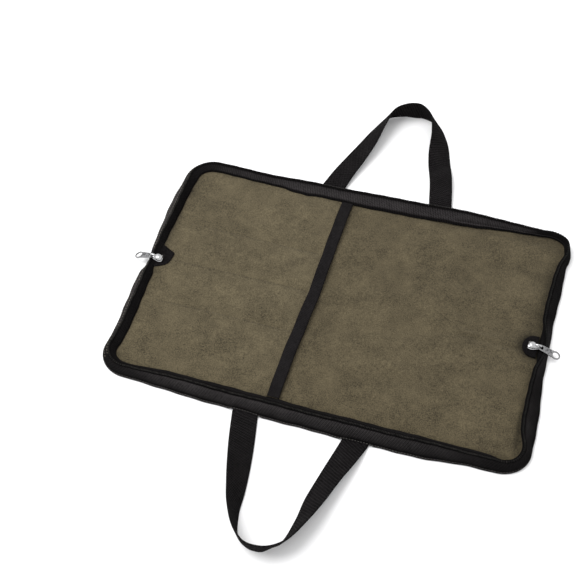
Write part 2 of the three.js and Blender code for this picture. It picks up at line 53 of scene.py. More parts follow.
def add_mesh(name, verts, faces, mat, uvs=None, body="case", tone=None):
    mesh = bpy.data.meshes.new(name)
    mesh.from_pydata([tuple(v) for v in verts], [], faces)
    mesh.update()
    mesh.polygons.foreach_set("use_smooth", [True] * len(mesh.polygons))
    if uvs is not None:
        layer = mesh.uv_layers.new(name="UVMap")
        layer.data.foreach_set("uv", np.asarray(uvs, float).reshape(-1))
    if tone is not None:
        attribute = mesh.attributes.new("tone", "FLOAT", "POINT")
        attribute.data.foreach_set("value", np.asarray(tone, float).reshape(-1))
    obj = bpy.data.objects.new(name, mesh)
    bpy.context.scene.collection.objects.link(obj)
    obj.data.materials.append(mat)
    if body:
        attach(obj, body)
    return obj


floor_mat, tree, shader = material("ground_paper")
shader.inputs["Base Color"].default_value = (0.85, 0.85, 0.855, 1)
shader.inputs["Roughness"].default_value = 0.9
shader.inputs["Specular IOR Level"].default_value = 0.1
floor_half, floor_z = 9, -0.0001
floor_corners = [(-floor_half, -floor_half, floor_z), (floor_half, -floor_half, floor_z),
                 (floor_half, floor_half, floor_z), (-floor_half, floor_half, floor_z)]
floor = add_mesh("ground", floor_corners, [(0, 1, 2, 3)], floor_mat, body=None)

world = bpy.data.worlds.new("studio")
bpy.context.scene.world = world
world.use_nodes = True
world.node_tree.nodes["Background"].inputs[0].default_value = (1.0, 1.0, 1.0, 1)
world.node_tree.nodes["Background"].inputs[1].default_value = 1.1

lamp = bpy.data.lights.new("key", "AREA")
lamp.shape = "DISK"
lamp.size = 2.1
lamp.energy = 70
key = bpy.data.objects.new("key", lamp)
key.location = (-1.36, -0.2, 2.45)
key.rotation_euler = (-key.location).to_track_quat("-Z", "Y").to_euler()
bpy.context.scene.collection.objects.link(key)

camera_data = bpy.data.cameras.new("photo_camera")
camera_data.lens = 72.06
camera_data.sensor_width = 36
camera_data.clip_start = 0.01
camera = bpy.data.objects.new("photo_camera", camera_data)
turn = math.radians(16.86)
lift = math.radians(50.94)
camera.location = (0.1578, -0.7177, 0.931)
toward = Vector((-math.sin(turn) * math.cos(lift), math.cos(turn) * math.cos(lift), -math.sin(lift)))
camera.rotation_euler = toward.to_track_quat("-Z", "Y").to_euler()
bpy.context.scene.collection.objects.link(camera)
bpy.context.scene.camera = camera

# Zip gussets: the wall of each half, a strip of black cloth sewn to the lining at its foot, folded
# up over the rim, and sewn in under the case along its bound edge. The zip's own tape beside the rim
# is plain black, the cloth around it carries painted light and shade, and the bound edge rides over
# the straps.
field_x, field_y, corner = 200.0, 135.7, 16.0
wall_width, wall_height = 19.0, 13.2
lining_top = 7.0
# The wall's foot steps up here from the lining onto the pocket's sheet
step_from, step_long, step_high = -12.0, 16.0, 1.3
mouth_x = -28.0
strap_legs = {"near": (-55.9, 53.5), "far": (-55.1, 67.4)}
strap_ridge = 13.2
side_of = {"far": 1, "near": -1}

# Lengths are in millimetres until they become a mesh. A run is a place along one half's edge, from
# its right end at the fold, round both corners, to its left end.
short_run = field_y - corner
corner_run = math.pi / 2 * corner
long_run = 2 * (field_x - corner)
half_run = 2 * (short_run + corner_run) + long_run
right_corner = short_run + corner_run / 2
left_corner = half_run - right_corner


def on_right(share):
    return share * short_run


def on_long(share):
    return half_run / 2 - share * long_run / 2


def on_left(share):
    return half_run - share * short_run


# Columns: run, foot, rim and reach as shares of wall_width, height as a share of wall_height
wall_rows = {
    "far": np.array([
        [on_right(0), -0.02, 0.3, 0.57, 0.72],
        [on_right(0.08), -0.02, 0.28, 0.56, 0.72],
        [on_right(0.28), 0, 0, 0.55, 1],
        [on_right(0.75), 0.06, 0.07, 0.62, 1],
        [on_right(0.97), 0.27, 0.33, 0.66, 1],
        [short_run + corner_run / 3, 0.47, 0.64, 0.9, 1],
        [right_corner, 0.62, 0.84, 1.07, 1],
        [short_run + 0.78 * corner_run, 0.6, 0.82, 1.02, 1],
        [on_long(0.98), 0.54, 0.7, 0.92, 1],
        [on_long(0.84), 0.42, 0.76, 0.98, 1],
        [on_long(0.71), 0.27, 0.84, 1.05, 1],
        [on_long(0.5), 0.05, 0.87, 1.08, 1],
        [on_long(0), -0.18, 0.66, 1, 1],
        [on_long(-0.4), -0.2, 0.54, 0.96, 1],
        [on_long(-0.7), -0.08, 0.44, 0.86, 1],
        [left_corner, 0.02, 0.5, 0.92, 1],
        [on_left(0.68), 0.1, 0.42, 1, 1],
        [on_left(0.3), 0.12, 0.44, 0.9, 1],
        [on_left(0.08), 0.13, 0.44, 0.76, 0.72],
        [on_left(0), 0.08, 0.4, 0.72, 0.72]]),
    "near": np.array([
        [on_right(0), -0.02, 0.3, 0.57, 0.72],
        [on_right(0.08), -0.02, 0.28, 0.56, 0.72],
        [on_right(0.28), 0.05, 0.03, 0.58, 1],
        [on_right(0.8), -0.03, -0.04, 0.74, 1],
        [right_corner, 0.3, 0.4, 0.74, 1],
        [on_long(0.96), 0.04, 0.34, 0.74, 1],
        [on_long(0.85), 0.0, 0.37, 0.78, 1],
        [on_long(0.65), -0.02, 0.36, 0.98, 1],
        [on_long(0.3), -0.02, 0.4, 1.06, 1],
        [on_long(-0.3), -0.02, 0.38, 1, 1],
        [on_long(-0.75), -0.04, 0.32, 0.86, 1],
        [on_long(-0.97), 0.09, 0.38, 0.71, 1],
        [left_corner, 0.05, 0.38, 0.75, 1],
        [on_left(0.95), -0.17, 0.26, 0.73, 1],
        [on_left(0.78), -0.2, 0.2, 0.66, 1],
        [on_left(0.5), -0.1, 0.28, 0.79, 1],
        [on_left(0.2), -0.02, 0.36, 0.84, 1],
        [on_left(0.13), 0.09, 0.38, 0.66, 0.86],
        [on_left(0.07), 0.08, 0.38, 0.68, 0.72],
        [on_left(0), 0.04, 0.36, 0.68, 0.72]]),
}
# Tones along the run, from black at 0 to lit cloth at 1: inside the rim, outside it, and the base.
# Low tones are black zip tape and painted shade on faces turned from the lamp (the right walls, the
# left walls' inner faces); tones near and above 1 are painted light on faces turned to it.
inner_tone = {
    "far": [
        (0, 0.1), (on_right(0.95), 0.1), (right_corner, 0.05), (on_long(0.96), 0.1), (on_long(0.9), 0.85),
        (on_long(0), 1.0), (on_long(-0.6), 0.95), (on_long(-0.93), 0.6), (left_corner, 0.2),
        (on_left(0.9), 0.02), (half_run, 0.02)],
    "near": [
        (0, 0.08), (right_corner, 0.05), (on_long(0.9), 0.16), (on_long(-0.9), 0.16), (left_corner, 0.05),
        (half_run, 0.02)]}
outer_tone = {
    "far": [
        (0, 0.5), (on_right(0.12), 0.5), (on_right(0.3), 0.08), (right_corner, 0.08), (on_long(0.9), 0.6),
        (on_long(-0.9), 0.7), (left_corner, 0.8), (on_left(0.7), 1.35), (half_run, 1.2)],
    "near": [
        (0, 0.5), (on_right(0.2), 0.4), (on_right(0.5), 0.1), (on_right(0.8), 0.4), (right_corner, 0.1),
        (on_long(0.93), 0.2), (on_long(0.7), 0.55), (on_long(0.2), 0.84), (on_long(-0.7), 1.0),
        (on_long(-0.9), 0.55), (left_corner, 0.1), (on_left(0.9), 0.7), (on_left(0.5), 1.35),
        (half_run, 1.2)]}
base_tone = {
    "far": [(0, 0.5), (half_run, 0.5)],
    "near": [
        (0, 0.6), (right_corner, 0.3), (on_long(0.9), 0.2), (on_long(0.5), 0.6), (on_long(0), 1.0),
        (on_long(-0.9), 0.9), (left_corner, 0.5), (half_run, 0.6)]}


def between(rows, run, column):
    x, y = rows[:, 0], rows[:, column]
    slope = np.empty(len(x))
    slope[1:-1] = (y[2:] - y[:-2]) / (x[2:] - x[:-2])
    slope[0] = (y[1] - y[0]) / (x[1] - x[0])
    slope[-1] = (y[-1] - y[-2]) / (x[-1] - x[-2])
    run = np.asarray(run, float)
    k = np.clip(np.searchsorted(x, run, side="left"), 1, len(x) - 1)
    w = x[k] - x[k - 1]
    t = np.clip((run - x[k - 1]) / w, 0, 1)
    return ((2 * t**3 - 3 * t**2 + 1) * y[k - 1] + (t**3 - 2 * t**2 + t) * w * slope[k - 1]
            + (3 * t**2 - 2 * t**3) * y[k] + (t**3 - t**2) * w * slope[k])


def wall_value(half, run, column):
    return wall_width * between(wall_rows[half], run, column)


def wall_top(half, run):
    return wall_height * between(wall_rows[half], run, 4)


def tone_along(run, table):
    places, values = zip(*table)
    return np.interp(run, places, values)


def edge_at(run):
    run = np.asarray(run, float)
    mirrored = run > half_run / 2
    r = np.where(mirrored, half_run - run, run)
    angle = np.clip((r - short_run) / corner, 0, math.pi / 2)
    nx, ny = np.cos(angle), np.sin(angle)
    x = field_x - corner + corner * nx - np.clip(r - short_run - corner_run, 0, None)
    y = np.minimum(r, short_run) + corner * ny
    sign = np.where(mirrored, -1.0, 1.0)
    return sign * x, y, sign * nx, ny


def outward(half, run, out, z):
    x, y, nx, ny = edge_at(run)
    return np.stack([x + nx * out, side_of[half] * (y + ny * out), z + 0 * x], -1)


def smoothstep(x, a, b):
    t = np.clip((np.asarray(x, float) - a) / (b - a), 0, 1)
    return t * t * (3 - 2 * t)


def wave(x, parts):
    return sum(height * np.sin(2 * math.pi * x / length + shift) for height, length, shift in parts)


def rim_line(half, run):
    return wall_value(half, run, 2) + wave(run, ((0.35, 83, 2.2), (0.15, 19, 0.7)))


def curve_between(p0, p1, p2, p3, t):
    return 0.5 * (2 * p1 + (p2 - p0) * t + (2 * p0 - 5 * p1 + 4 * p2 - p3) * t**2
                  + (3 * p1 - p0 - 3 * p2 + p3) * t**3)


def closed_curve(points, steps):
    around = [np.roll(points, shift, 0) for shift in (1, 0, -1, -2)]
    parts = [curve_between(*around, step / steps) for step in range(steps)]
    return np.stack(parts, 1).reshape(-1, points.shape[-1])


def travelled(points):
    return np.concatenate([[0], np.cumsum(np.linalg.norm(np.diff(points, axis=0), axis=1))])


def ring_mesh(name, rings, mat, body="case", flip=False, tone=None):
    n, m = rings.shape[:2]
    along = travelled(rings.mean(1))
    closed = np.concatenate([rings, rings[:, :1]], 1)
    around = np.concatenate([[0], np.cumsum(np.linalg.norm(np.diff(closed, axis=1), axis=2).mean(0))])
    faces, uvs = [], []
    for i in range(n - 1):
        for j in range(m):
            k = (j + 1) % m
            quad = [(i, j), (i, j + 1), (i + 1, j + 1), (i + 1, j)]
            ids = [i * m + j, i * m + k, (i + 1) * m + k, (i + 1) * m + j]
            if flip:
                quad, ids = quad[::-1], ids[::-1]
            faces.append(ids)
            uvs.extend((along[a] / 1000, around[b] / 1000) for a, b in quad)
    first, last = list(range(m)), [(n - 1) * m + j for j in range(m)]
    faces.append(first if flip else first[::-1])
    faces.append(last[::-1] if flip else last)
    uvs.extend([(0, 0)] * (2 * m))
    return add_mesh(name, rings.reshape(-1, 3) / 1000, faces, mat, uvs, body, tone)


# Stitches along a path: each is a short length of thread that dives into the cloth at both ends
def stitch_row(name, places, ups, length, radius, mat, gap):
    places, ups = np.asarray(places, float), np.asarray(ups, float)
    travel = travelled(places)
    sides = 6
    rings = ((0, 0.35, -0.3), (0.25, 0.9, 0.2), (0.75, 0.9, 0.2), (1, 0.35, -0.3))
    verts, faces = [], []
    at = 0.6
    while at + length < travel[-1]:
        start, end = [np.array([np.interp(w, travel, places[:, k]) for k in range(3)])
                      for w in (at, at + length)]
        up = np.array([np.interp(at, travel, ups[:, k]) for k in range(3)])
        way = (end - start) / np.linalg.norm(end - start)
        across = np.cross(way, up)
        across /= np.linalg.norm(across)
        up = np.cross(across, way)
        first = len(verts)
        last = first + (len(rings) - 1) * sides
        for t, scale, rise in rings:
            centre = start + (end - start) * t + up * radius * rise
            for a in np.linspace(0, 2 * math.pi, sides, endpoint=False):
                verts.append(centre + radius * scale * (math.cos(a) * across + math.sin(a) * up))
        for a in range(first, last, sides):
            for j in range(sides):
                k = (j + 1) % sides
                faces.append([a + sides + j, a + sides + k, a + k, a + j])
        faces.append([first + j for j in range(sides)])
        faces.append([last + j for j in range(sides)][::-1])
        at += length + gap
    return add_mesh(name, np.array(verts) / 1000, faces, mat)


def math_node(tree, operation, a, b=None, c=None):
    node = tree.nodes.new("ShaderNodeMath")
    node.operation = operation
    for socket, value in enumerate((a, b, c)):
        if value is None:
            continue
        if isinstance(value, (int, float)):
            node.inputs[socket].default_value = value
        else:
            tree.links.new(value, node.inputs[socket])
    return node.outputs[0]


def object_coords(tree):
    return tree.nodes.new("ShaderNodeTexCoord").outputs["Object"]


def noise(tree, coords, scale, detail=2.0, roughness=0.5):
    node = tree.nodes.new("ShaderNodeTexNoise")
    node.inputs["Scale"].default_value = scale
    node.inputs["Detail"].default_value = detail
    node.inputs["Roughness"].default_value = roughness
    tree.links.new(coords, node.inputs["Vector"])
    return math_node(tree, "SUBTRACT", node.outputs["Fac"], 0.5)


def scaled_colour(tree, base, factor):
    node = tree.nodes.new("ShaderNodeVectorMath")
    node.operation = "SCALE"
    node.inputs[0].default_value = base
    tree.links.new(factor, node.inputs["Scale"])
    return node.outputs[0]


def tone_value(tree):
    node = tree.nodes.new("ShaderNodeAttribute")
    node.attribute_name = "tone"
    return node.outputs["Fac"]


def bump_node(tree, height, strength, distance):
    node = tree.nodes.new("ShaderNodeBump")
    node.inputs["Strength"].default_value = strength
    node.inputs["Distance"].default_value = distance
    tree.links.new(height, node.inputs["Height"])
    return node


# Threads that cross over and under along the two directions of the piece's own UV, in metres
def woven_material(name, base, along, across, depth, roughness, lean, contrast, tone=False):
    m, tree, shader = material(name)
    split = tree.nodes.new("ShaderNodeSeparateXYZ")
    tree.links.new(tree.nodes.new("ShaderNodeTexCoord").outputs["UV"], split.inputs[0])
    u, v = split.outputs[0], split.outputs[1]
    leaning = math_node(tree, "MULTIPLY_ADD", v, lean, u)
    warp = math_node(tree, "SINE", math_node(tree, "MULTIPLY", leaning, 2 * math.pi / along))
    weft = math_node(tree, "SINE", math_node(tree, "MULTIPLY", v, 2 * math.pi / across))
    weave = math_node(tree, "MULTIPLY", warp, weft)
    where = object_coords(tree)
    patches = noise(tree, where, 60, 4, 0.6)
    specks = noise(tree, where, 500, 2, 0.7)
    fuzz = noise(tree, where, 2200, 2, 0.7)
    total = math_node(tree, "MULTIPLY_ADD", weave, 0.38 * contrast, 1.0)
    total = math_node(tree, "MULTIPLY_ADD", patches, 0.9, total)
    total = math_node(tree, "MULTIPLY_ADD", specks, 1.0 * contrast, total)
    total = math_node(tree, "MULTIPLY_ADD", fuzz, 1.1 * contrast, total)
    # tone mixes the black zip tape with the grey cloth and paints light and shade along the walls
    if tone:
        painted_light_and_tape = math_node(tree, "MULTIPLY_ADD", tone_value(tree), 0.8, 0.2)
        total = math_node(tree, "MULTIPLY", total, painted_light_and_tape)
    total = math_node(tree, "MAXIMUM", total, 0.06)
    tree.links.new(scaled_colour(tree, base, total), shader.inputs["Base Color"])
    threads = bump_node(tree, math_node(tree, "MULTIPLY_ADD", fuzz, 0.8, weave), 0.9, depth)
    tree.links.new(threads.outputs["Normal"], shader.inputs["Normal"])
    shader.inputs["Roughness"].default_value = roughness
    shader.inputs["Specular IOR Level"].default_value = 0.008
    shader.inputs["Sheen Weight"].default_value = 0.002
    shader.inputs["Sheen Roughness"].default_value = 0.5
    return m


def thread_material(name, base, scale, strength, roughness):
    m, tree, shader = material(name)
    twist = noise(tree, object_coords(tree), scale)
    lit = math_node(tree, "MULTIPLY_ADD", twist, strength, 1.0)
    tree.links.new(scaled_colour(tree, base, lit), shader.inputs["Base Color"])
    shader.inputs["Roughness"].default_value = roughness
    return m


gusset_cloth = woven_material("gusset_cloth", (0.0222, 0.0203, 0.0206), 0.0027, 0.0023, 0.0004, 0.85,
                              lean=0.6, contrast=1.25, tone=True)
thread = thread_material("thread", (0.05, 0.046, 0.041), 900, 0.8, 0.6)
edge_thread = thread_material("edge_thread", (0.125, 0.108, 0.082), 700, 1.4, 0.7)
cloth = 1.5
rim_half = 1.5
border = 12.0
for half in ("far", "near"):
    side = side_of[half]
    run = np.linspace(0, half_run, 560)
    ex, _, nx, ny = edge_at(run)
    foot = wall_value(half, run, 1) + wave(run, ((0.3, 61, 0.4), (0.2, 23, 1.9)))
    # A short stretch of the far foot, left of the strap, is drawn in
    if half == "far":
        foot = foot - 1.3 * np.exp(-(((ex + 88) / 13) ** 4)) - 0.9 * np.exp(-(((ex + 76) / 5) ** 2))
    rim = rim_line(half, run)
    reach = wall_value(half, run, 3) + wave(run, ((0.3, 71, 1.2), (0.22, 27, 2.9)))
    top = wall_top(half, run)
    low = lining_top + step_high * smoothstep(step_from - ex, 0, step_long)
    rise = top - low
    inner = rim - rim_half - foot
    outer = reach - rim - rim_half
    rim_out = rim + rim_half
    room = np.clip(outer / 8, 0.25, 1)
    swell = wave(run, ((0.45, 57, 0.3), (0.3, 31, 1.1), (0.2, 13, 2.0))) * room
    pleat = wave(run, ((0.4, 17, 0.3), (0.35, 11, 1.7))) * room
    strap = np.zeros(len(run))
    for leg in strap_legs[half]:
        strap = np.maximum(strap, smoothstep(-np.abs(ex - leg), -17.5, -strap_ridge) * (ny > 0.99))
    ground = 0.05 + 2.6 * strap
    t_in, t_out, t_base = (tone_along(run, table[half]) for table in (inner_tone, outer_tone, base_tone))
    piping = smoothstep(run, on_right(0.97), on_long(0.93))
    piping = piping * smoothstep(-run, -on_long(0.42), -on_long(0.52)) * (half == "far")
    # The outside of the wall from its foot, up over the rim and down to the bound edge below.
    # Columns: place out from the field's edge, height and tone. The inside has one plain tone.
    # Painted light and shade in the tone column: a shadow line at the wall's foot, a highlight on the far
    # wall's piping and on the panel's top edge, the panel darkening down its side, shade in the groove
    # above the bound edge, and a lighter ridge on the bound edge.
    skin = [
        (foot + 0.1, low + 0.35 * cloth, 0), (foot + 0.12 * inner, low + 0.2 * rise + 0.5, 0),
        (foot + 0.2 * inner, low + 0.3 * rise + 0.5 + 0.5 * piping,
         0.5 * t_in * (1 - piping) + 1.3 * piping),
        (foot + 0.3 * inner, low + 0.38 * rise + 0.4 + 0.3 * piping, t_in * (1 - 0.5 * piping)),
        (foot + 0.55 * inner, low + 0.62 * rise + 0.3, t_in),
        (foot + 0.85 * inner, low + 0.88 * rise, 0.8 * t_in), (rim - 1.6, top - 0.55, 0),
        (rim - 0.6, top - 0.05, 0), (rim + 1.6, top - 0.2, 0),
        (rim_out + 0.08 * outer, top - 0.55 - 0.5 * room, 0),
        (rim_out + 0.18 * outer, top - 0.3 - 0.5 * room, 1.15 * t_out),
        (rim_out + 0.42 * outer, 0.8 * top + 0.35 * swell, t_out),
        (rim_out + 0.68 * outer + 0.3 * swell, 0.58 * top + 0.3 * pleat, 0.7 * t_out),
        (rim_out + 0.84 * outer + 0.4 * swell, 0.42 * top - 0.3 * room + 0.2 * pleat, 0.25 * t_out),
        (rim_out + 0.91 * outer + 0.3 * swell - 0.5 * room, 0.31 * top - 0.3 * room, 0.02),
        (reach - 0.9 - 0.7 * room, 0.22 * top, 0), (reach - 0.5, 0.2 * top + 0.3, 0.7 * t_base),
        (reach - 0.1, 0.13 * top + 0.7, t_base), (reach, 0.09 * top + 0.2 + ground * 0.6, 0.9 * t_base),
        (reach - 0.5, ground + 0.15, 0.3 * t_base), (reach - 2, ground, 0.3),
        (reach - border + 0.5, ground, 0.3), (reach - border, ground + 0.5, 0.3)]
    back = [
        (reach - border + 0.4, ground + 1.0), (reach - 4.2, ground + 1.2), (reach - 3.2, 0.24 * top + 0.4),
        (rim_out + 0.75 * outer - cloth, 0.46 * top), (rim_out + 0.42 * outer - cloth, 0.76 * top - 0.8),
        (rim, top - cloth - 0.1), (foot + 0.5 * inner + cloth, low + 0.5 * rise - 0.8),
        (foot + cloth + 0.1, low + 0.1), (foot + 0.3, low + 0.05)]
    points = skin + [(out, z, 0.2) for out, z in back]
    outline = np.stack([np.stack([value + 0 * run for value in point], -1) for point in points], 1)
    outline = np.stack([closed_curve(ring, 3) for ring in outline])
    outline[..., 1] = np.maximum(outline[..., 1], 0.02)
    rings = outward(half, run[:, None], outline[..., 0], outline[..., 1])
    wall = ring_mesh("gusset_" + half, rings, gusset_cloth, flip=(half == "far"),
                     tone=np.clip(outline[..., 2], 0, 2.4))
    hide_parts("wall_" + half)
    place = outward(half, run, reach - 0.3, 0.17 * top + 0.75 + 0.5 * ground)
    up = np.stack([nx * 0.7, side * ny * 0.7, 0.7 + 0 * nx], -1)
    stitch_row("binding_stitches_" + half, place, up, 1.7, 0.26, thread, 1.1)
    for level, share in (("upper", 0.16), ("lower", 0.62)):
        z = np.interp(share, (0.16, 0.42, 0.62), (0.95, 0.8, 0.63)) * top + 0.3 * swell
        z = z - 0.35 * (level == "upper")
        left_end = (ex < -196) & (run < half_run - 9)
        place = outward(half, run, rim_out + share * outer, z + 0.1)[left_end]
        stitch_row("tape_stitches_" + level + "_" + half, place, up[left_end], 2.0, 0.3, edge_thread,
                   1.6)

# Zip coils: a moulded nylon coil along each rim, sewn to the zip tape. Each turn shows as one small
# tooth across the rim; painted shade makes the coil nearly black on the right walls.
nylon, tree, shader = material("coil_nylon")
shader.inputs["Roughness"].default_value = 0.5
shader.inputs["Specular IOR Level"].default_value = 0.12
speckle = math_node(tree, "MULTIPLY_ADD", noise(tree, object_coords(tree), 400), 0.84, 0.16)
speckle = math_node(tree, "MULTIPLY", speckle, tone_value(tree))
tree.links.new(scaled_colour(tree, (0.062, 0.057, 0.05), speckle), shader.inputs["Base Color"])
# Painted shade: the coil's tone along the run, low on the right walls
coil_tone = {
    "far": [(0, 0.3), (on_right(0.97), 0.35), (on_long(0.95), 0.9), (half_run, 0.9)],
    "near": [(0, 0.3), (on_right(0.6), 0.35), (right_corner, 0.7), (on_long(0.9), 1.0), (half_run, 1.0)]}
tooth_sides = 8
tooth_angles = np.linspace(0, 2 * math.pi, tooth_sides, endpoint=False)
tooth_circle = [(math.cos(a), math.sin(a)) for a in tooth_angles]
tooth_rings = ((-0.85, 0.5), (-0.65, 0.9), (0, 1.08), (0.65, 0.9), (0.85, 0.5))
tooth_wide, tooth_tall, tooth_pitch = 0.5, 0.6, 1.5
slider_y = -4.0
for half in ("far", "near"):
    side = side_of[half]
    stop = 4.9 + slider_y * side
    run = np.arange(stop, half_run - stop, tooth_pitch)
    nx, ny = edge_at(run)[2:]
    centres = outward(half, run, rim_line(half, run) + 0.8, wall_top(half, run) + 0.4)
    verts, faces = [], []
    for i in range(len(run)):
        across = np.array([nx[i], side * ny[i], 0.0])
        along = np.array([-ny[i], side * nx[i], 0.0])
        start = len(verts)
        for w, scale in tooth_rings:
            for c, s in tooth_circle:
                lifted = np.array([0, 0, tooth_tall * scale * s])
                verts.append(centres[i] + across * w + along * (tooth_wide * scale * c) + lifted)
        tooth = []
        for r in range(len(tooth_rings) - 1):
            for j in range(tooth_sides):
                k = (j + 1) % tooth_sides
                a = start + r * tooth_sides
                tooth.append([a + j, a + k, a + tooth_sides + k, a + tooth_sides + j])
        last = start + (len(tooth_rings) - 1) * tooth_sides
        tooth.append([last + j for j in range(tooth_sides)])
        tooth.append([start + j for j in range(tooth_sides)][::-1])
        faces.extend(tooth if side < 0 else [face[::-1] for face in tooth])
    tones = np.repeat(tone_along(run, coil_tone[half]), len(tooth_rings) * tooth_sides)
    coil = add_mesh("coil_teeth_" + half, np.array(verts) / 1000, faces, nylon,
                    tone=tones)
    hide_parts("zip_coil_" + half)


# Lining: one sheet of olive suede over a thin pad, from end to end of the open case and sewn in
# under the foot of the walls. It has soft long creases, and painted shade darkens it at the edges.
def foot_at(share, run):
    return np.where(share < 0, wall_value("near", run, 1), wall_value("far", run, 1))


# A sheet's point in the field, by its x and its share of the half depth. The sheet goes in under the
# walls by tuck, and its rounded corners and short sides by side_tuck.
def field_point(x, share, tuck, side_tuck):
    x, share = np.broadcast_arrays(np.asarray(x, float), np.asarray(share, float))
    run = on_long(np.clip(x / (long_run / 2), -1, 1))
    edge = field_y + foot_at(share, run) + tuck
    ox = np.abs(x) - (field_x - corner)
    oy = np.abs(share) * edge - short_run
    length = np.hypot(ox, oy)
    angle = np.arctan2(np.maximum(oy, 0), np.maximum(ox, 1e-6)) / (math.pi / 2)
    turn = np.where(x > 0, short_run + corner_run * angle, half_run - short_run - corner_run * angle)
    limit = corner + np.maximum(foot_at(share, turn), 0) + side_tuck
    pull = np.where((ox > 0) & (oy > 0) & (length > limit), limit / np.maximum(length, 1e-6), 1.0)
    reach_x, reach_y = ox * pull + field_x - corner, oy * pull + short_run
    beside = np.where(x > 0, np.clip(reach_y, 0, None), half_run - np.clip(reach_y, 0, None))
    side_limit = field_x + foot_at(share, beside) + side_tuck
    reach_x = np.where(reach_y < short_run, np.minimum(reach_x, side_limit), reach_x)
    return np.sign(x) * reach_x, np.sign(share) * reach_y


def crease(x, y, start, end, width, height, fade=12.0):
    a, b = np.array(start, float), np.array(end, float)
    d = b - a
    length = np.hypot(*d)
    d /= length
    along = (x - a[0]) * d[0] + (y - a[1]) * d[1]
    off = (x - a[0]) * -d[1] + (y - a[1]) * d[0]
    ends = smoothstep(along, -fade * 0.3, fade) * smoothstep(length - along, -fade * 0.3, fade)
    return height * np.exp(-(off / width) ** 2) * ends


def grid_mesh(name, top, under, mat, tone=None):
    n, m = top.shape[:2]
    verts = np.concatenate([top.reshape(-1, 3), under.reshape(-1, 3)]) / 1000
    base = n * m
    faces, uvs = [], []

    def put(ids):
        faces.append(ids)
        uvs.extend((verts[v][0], verts[v][1]) for v in ids)

    for i in range(n - 1):
        for j in range(m - 1):
            a, b, c, d = i * m + j, (i + 1) * m + j, (i + 1) * m + j + 1, i * m + j + 1
            put([a, b, c, d])
            put([base + d, base + c, base + b, base + a])
    for i in range(n - 1):
        a, b = i * m, (i + 1) * m
        put([a, base + a, base + b, b])
        a, b = i * m + m - 1, (i + 1) * m + m - 1
        put([b, base + b, base + a, a])
    for j in range(m - 1):
        put([j, j + 1, base + j + 1, base + j])
        a, b = (n - 1) * m + j, (n - 1) * m + j + 1
        put([b, a, base + a, base + b])
    if tone is not None:
        tone = np.concatenate([tone.reshape(-1), tone.reshape(-1)])
    return add_mesh(name, verts, faces, mat, uvs, tone=tone)


# A short brushed nap: soft blotches, clouded patches and a fine grain; "tone" multiplies in painted shade
def suede_material(name, base, tone=True):
    m, tree, shader = material(name)
    coords = object_coords(tree)
    blotch = noise(tree, coords, 38, 2, 0.5)
    cloud = noise(tree, coords, 105, 1, 0.5)
    mottle = noise(tree, coords, 380, 1, 0.5)
    grain = noise(tree, coords, 950, 2, 0.8)
    total = math_node(tree, "MULTIPLY_ADD", blotch, 0.85, 1.0)
    total = math_node(tree, "MULTIPLY_ADD", cloud, 0.45, total)
    total = math_node(tree, "MULTIPLY_ADD", mottle, 0.5, total)
    total = math_node(tree, "MULTIPLY_ADD", grain, 2.9, total)
    if tone:
        total = math_node(tree, "MULTIPLY", total, tone_value(tree))
    tree.links.new(scaled_colour(tree, base, total), shader.inputs["Base Color"])
    fine = bump_node(tree, grain, 0.6, 0.0005)
    soft = bump_node(tree, cloud, 0.3, 0.0012)
    tree.links.new(fine.outputs["Normal"], soft.inputs["Normal"])
    tree.links.new(soft.outputs["Normal"], shader.inputs["Normal"])
    shader.inputs["Roughness"].default_value = 1.0
    shader.inputs["Specular IOR Level"].default_value = 0.06
    shader.inputs["Sheen Weight"].default_value = 0.05
    shader.inputs["Sheen Roughness"].default_value = 0.6
    return m


suede_tone = (0.0640, 0.0520, 0.0305)
suede = suede_material("olive_suede", suede_tone)
columns = np.concatenate([np.linspace(-208, 184, 210)[:-1], np.linspace(184, 213, 26)])
gx, gs = np.meshgrid(columns, np.linspace(-1, 1, 160), indexing="ij")
x, y = field_point(gx, gs, 5.0, 5.0)
relief = wave(x + 0.4 * y, ((0.22, 90, 0.5),)) + wave(y - 0.3 * x, ((0.18, 70, 1.4), (0.08, 31, 0.2)))
for start, end, width, height in (
        ((118, -8), (186, -9), 2.4, -0.55), ((112, -2), (180, -1), 3.0, 0.5),
        ((120, 4), (150, 1), 1.6, -0.35), ((148, -16), (184, -12), 2.2, 0.4),
        ((196.5, -70), (197, -126), 1.6, -0.6), ((30, -60), (120, -72), 6, 0.35),
        ((60, 60), (165, 30), 9, 0.3)):
    relief = relief + crease(x, y, start, end, width, height)
edge_distance = np.clip(np.minimum(field_x - np.abs(x), field_y - np.abs(y)), 0, None)
relief = relief - 0.5 * np.exp(-edge_distance / 3.0)
lining_level, lining_under = 6.6, 3.2
top = np.stack([x, y, lining_level + np.clip(relief, -0.8, 0.35)], -1)
under = np.stack([x, y, np.full_like(x, lining_under)], -1)
# Painted shade: a band beside the right wall, a shadow and its halo round the right tab, darkening along
# all the walls, and dark lines in two of the creases.
right_shade = np.exp(-((x - 189 - 0.1 * y) / 9) ** 2) * smoothstep(y, -60, 30) * smoothstep(-y, -125, -95)
tab_shade = np.exp(-(np.hypot(x - 192, y + 2) / 15) ** 4)
tab_shadow_halo = np.exp(-(np.hypot(x - 190, y + 2) / 26) ** 2)
shade = 1 - 0.24 * right_shade - 0.5 * tab_shade - 0.12 * tab_shadow_halo - 0.2 * np.exp(-edge_distance / 5)
shade = shade + crease(x, y, (197, -62), (197.5, -130), 2.4, -0.4)
shade = shade + crease(x, y, (112, -6), (184, -8), 2.0, -0.1)
lining = grid_mesh("lining_suede", top, under, suede, tone=np.clip(shade, 0.3, 1.1))
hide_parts("padded_lining")

